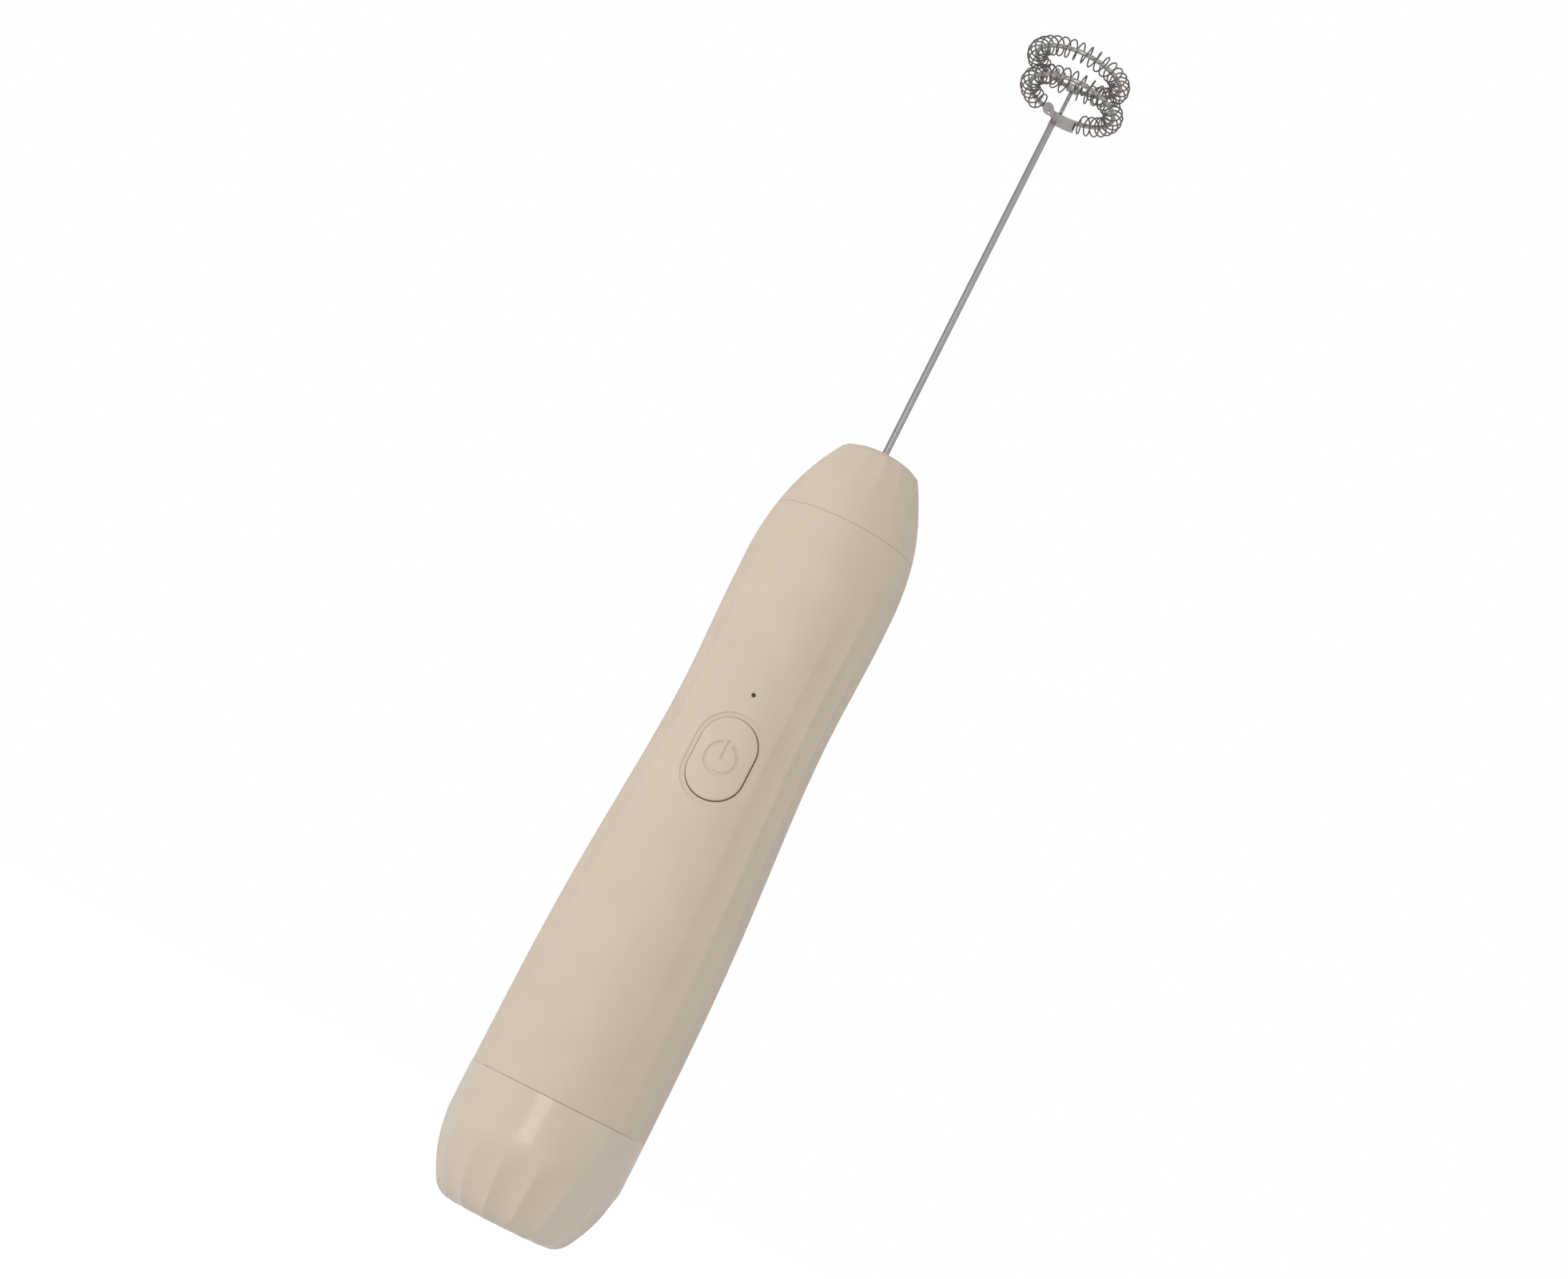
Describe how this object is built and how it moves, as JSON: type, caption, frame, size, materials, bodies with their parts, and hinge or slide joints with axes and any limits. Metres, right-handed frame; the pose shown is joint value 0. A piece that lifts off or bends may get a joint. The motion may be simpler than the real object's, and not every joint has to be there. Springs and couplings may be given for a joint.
{
  "type": "milk frother",
  "caption": "Hand-held milk frother: waisted fluted handle with a push button, pull-off end cap and a spinning steel shaft that ends in a whisk of stacked coiled rings.",
  "frame": {"origin": "centre of the end cap's flat foot, on the handle's axis", "axes": "+Z along the handle's axis from the foot to the whisk, -Y is the side the button faces, +X to the right when looking at the button"},
  "size_m": [0.0348, 0.0348, 0.247],
  "materials": {
    "body_plastic": "fine matt moulding",
    "cap_plastic": "satin moulding",
    "button_plastic": "satin moulding",
    "inner_plastic": "plain moulding",
    "dark_plastic": "matt",
    "rubber": "matt",
    "silicone": "soft, translucent",
    "screw_steel": "plated",
    "sheet_steel": "plated sheet",
    "shaft_steel": "drawn wire",
    "ring_steel": "drawn wire",
    "coil_steel": "drawn spring wire",
    "magnet": "dark sintered",
    "brass": "turned",
    "copper": "enamelled wire",
    "circuit_board": "solder resist",
    "cell_sleeve": "metal can in a shrunk sleeve",
    "lens": "smoked",
    "led": "moulded",
    "lead_red": "insulated lead",
    "lead_black": "insulated lead"
  },
  "bodies": {
    "handle": {"body_shell": "body_plastic", "nose_cap": "body_plastic", "nose_oring": "rubber", "end_plug": "inner_plastic", "cap_oring": "rubber", "end_screws": "screw_steel", "button_gasket": "silicone", "tact_switch": "dark_plastic", "indicator_lens": "lens", "indicator_led": "led", "control_board": "circuit_board", "board_chips": "dark_plastic", "board_screws": "screw_steel", "usb_shell": "sheet_steel", "usb_tongue": "dark_plastic", "port_board": "circuit_board", "chassis": "inner_plastic", "battery_cell": "cell_sleeve", "battery_contacts": "sheet_steel", "battery_bands": "silicone", "motor_can": "sheet_steel", "motor_magnets": "magnet", "motor_end_bell": "dark_plastic", "motor_brushes": "copper", "motor_terminals": "brass", "motor_bushes": "brass", "motor_sleeve": "rubber", "motor_plate": "sheet_steel", "motor_screws": "screw_steel", "nose_bush": "brass", "shaft_seal": "rubber", "motor_leads": "lead_red", "cell_leads": "lead_red", "power_leads": "lead_black"},
    "end_cap": {"bottom_cap": "cap_plastic"},
    "button": {"button": "button_plastic", "switch_plunger": "dark_plastic"},
    "whisk": {"motor_shaft": "screw_steel", "armature_core": "magnet", "armature_windings": "copper", "commutator": "copper", "coupling": "brass", "whisk_shaft": "shaft_steel", "whisk_arm": "shaft_steel", "ring_clip": "shaft_steel", "clip_lug": "shaft_steel", "link_post": "shaft_steel", "upper_ferrule": "shaft_steel", "lower_ring_wire": "ring_steel", "upper_ring_wire": "ring_steel", "lower_coil": "coil_steel", "upper_coil": "coil_steel"}
  },
  "joints": [
    {"name": "whisk_spin", "type": "hinge", "parent": "handle", "child": "whisk", "pos_m": [0, 0, 0.15], "axis": [0, 0, 1], "continuous": true},
    {"name": "button_press", "type": "slide", "parent": "handle", "child": "button", "axis": [0, 1, 0], "range_m": [0, 0.0006], "stiffness_N_per_m": 2500},
    {"name": "cap_pull", "type": "slide", "parent": "handle", "child": "end_cap", "axis": [0, 0, -1], "range_m": [0, 0.03]}
  ]
}
